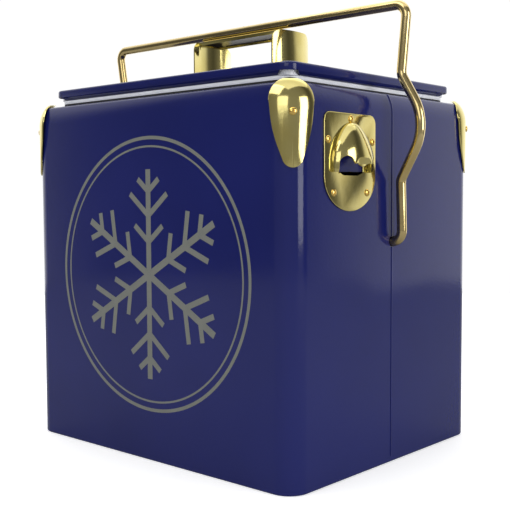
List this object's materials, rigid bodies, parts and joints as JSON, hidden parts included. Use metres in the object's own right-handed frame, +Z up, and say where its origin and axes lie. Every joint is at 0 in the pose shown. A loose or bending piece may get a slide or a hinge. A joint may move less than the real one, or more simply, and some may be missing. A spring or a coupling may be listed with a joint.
{
  "type": "picnic cooler chest",
  "caption": "Retro steel picnic cooler chest: foam-insulated plastic liner, lift-off lid with a strap handle, swing bail that locks the lid, corner guards and a side bottle opener.",
  "frame": {"origin": "middle of the footprint, on the surface that the chest stands on", "axes": "+Z up, -Y out of the front face, +X to the side with the bottle opener"},
  "size_m": [0.3746, 0.2627, 0.3724],
  "materials": {
    "blue_enamel": "gloss",
    "brass_plate": "polished with fine pitting",
    "liner_plastic": "semi-gloss",
    "foam": "matte",
    "zinc_plate": "satin",
    "seal_rubber": "matte"
  },
  "bodies": {
    "chest": {"front_shell": "blue_enamel", "rear_shell": "blue_enamel", "base_pan": "zinc_plate", "body_foam": "foam", "inner_liner": "liner_plastic", "rim_seal": "seal_rubber", "pivot_socket_left": "zinc_plate", "pivot_socket_right": "zinc_plate", "corner_guard_front_left": "brass_plate", "corner_guard_front_right": "brass_plate", "corner_guard_rear_left": "brass_plate", "corner_guard_rear_right": "brass_plate", "guard_rivets": "brass_plate", "opener_plate": "brass_plate", "opener_hood": "brass_plate", "opener_rivets": "brass_plate"},
    "bail": {"bail": "brass_plate"},
    "lid": {"lid_shell": "blue_enamel", "lid_foam": "foam", "lid_liner": "liner_plastic", "lid_handle": "brass_plate", "lid_handle_rivets": "brass_plate"}
  },
  "joints": [
    {"name": "bail_swing", "type": "hinge", "parent": "chest", "child": "bail", "pos_m": [0, 0, 0.182], "axis": [1, 0, 0], "range_deg": [0, 132]},
    {"name": "lid_lift", "type": "slide", "parent": "chest", "child": "lid", "axis": [0, 0, 1], "range_m": [0, 0.024]}
  ],
  "couplings": [
    {"joint": "lid_lift", "follows": "bail_swing", "m_per_rad": 0.0104}
  ]
}
